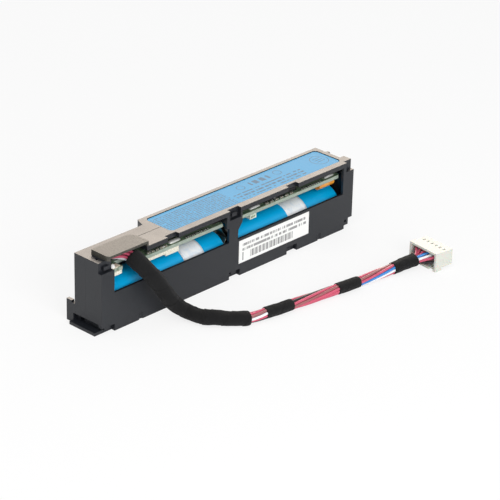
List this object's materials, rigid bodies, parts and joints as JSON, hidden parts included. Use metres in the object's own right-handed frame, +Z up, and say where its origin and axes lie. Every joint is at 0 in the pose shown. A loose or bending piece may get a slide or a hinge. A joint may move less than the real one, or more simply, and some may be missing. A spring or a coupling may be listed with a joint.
{
  "type": "raid battery module",
  "caption": "Long slim backup battery for a disk controller card: cylindrical cells and a protection board in a snapped black housing, with a taped wire lead and a white plug",
  "frame": {"origin": "on the standing surface under the middle of the housing with its end tongue, in plan", "axes": "X along the housing from the end with the lead's exit to the other end, Y from the front with the windows to the rear, Z up"},
  "size_m": [0.1569, 0.0784, 0.0342],
  "materials": {
    "housing": "satin moulded black plastic with a fine texture",
    "cover": "dull textured plastic seen in glancing light",
    "label_blue": "satin coated sky-blue label",
    "label_white": null,
    "cell_can": "nickel-plated drawn steel",
    "cell_sleeve": "glossy heat-shrunk film",
    "end_ring": "plain insulating paper",
    "tape": "smooth pale adhesive tape",
    "strap": "rolled nickel strip",
    "board": "glass-fibre board with green lacquer",
    "foam": "closed-cell foam, cut edges",
    "chip": "matt black moulding",
    "capacitor": "matt fired ceramic with tinned ends",
    "socket": "satin moulded plastic",
    "amber_film": "glossy amber insulating film",
    "solder": "dull set solder",
    "silicone": "soft matt silicone",
    "wire_red": "satin wire insulation",
    "wire_black": "satin wire insulation",
    "wire_blue": "satin wire insulation",
    "wire_white": "satin wire insulation",
    "cloth_tape": "matt woven cloth tape",
    "plug": "satin natural nylon",
    "terminal": "stamped and tinned brass"
  },
  "bodies": {
    "root": {"front_shell": "housing", "rear_shell": "housing", "cable_cover": "cover", "top_label": "label_blue", "side_label": "label_white", "cell_left": "cell_can", "cell_right": "cell_can", "cell_sleeve_left": "cell_sleeve", "cell_sleeve_right": "cell_sleeve", "end_ring_left": "end_ring", "end_ring_right": "end_ring", "tape_left": "tape", "tape_right": "tape", "strap_left_end": "strap", "strap_mid_left": "strap", "strap_mid_right": "strap", "strap_right_end": "strap", "circuit_board": "board", "foam_strip": "foam", "gauge_chip": "chip", "power_chips": "chip", "choke": "chip", "shunt_resistor": "chip", "capacitors": "capacitor", "resistors": "chip", "board_socket": "socket", "thermal_fuse": "amber_film", "solder_joints": "solder", "glue_bead": "silicone", "lead_anchor": "silicone", "tail_wires_red": "wire_red", "tail_wires_black": "wire_black", "tail_wire_blue": "wire_blue", "tail_wire_white": "wire_white", "cable_sleeve": "cloth_tape", "wire_run_1": "wire_red", "wire_run_2": "wire_red", "wire_run_3": "wire_red", "wrap_1": "cloth_tape", "wrap_2": "cloth_tape", "wrap_3": "cloth_tape", "fan_wires_red": "wire_red", "fan_wires_black": "wire_black", "fan_wire_blue": "wire_blue", "fan_wire_white": "wire_white", "plug_housing": "plug", "plug_terminals": "terminal"}
  },
  "joints": []
}
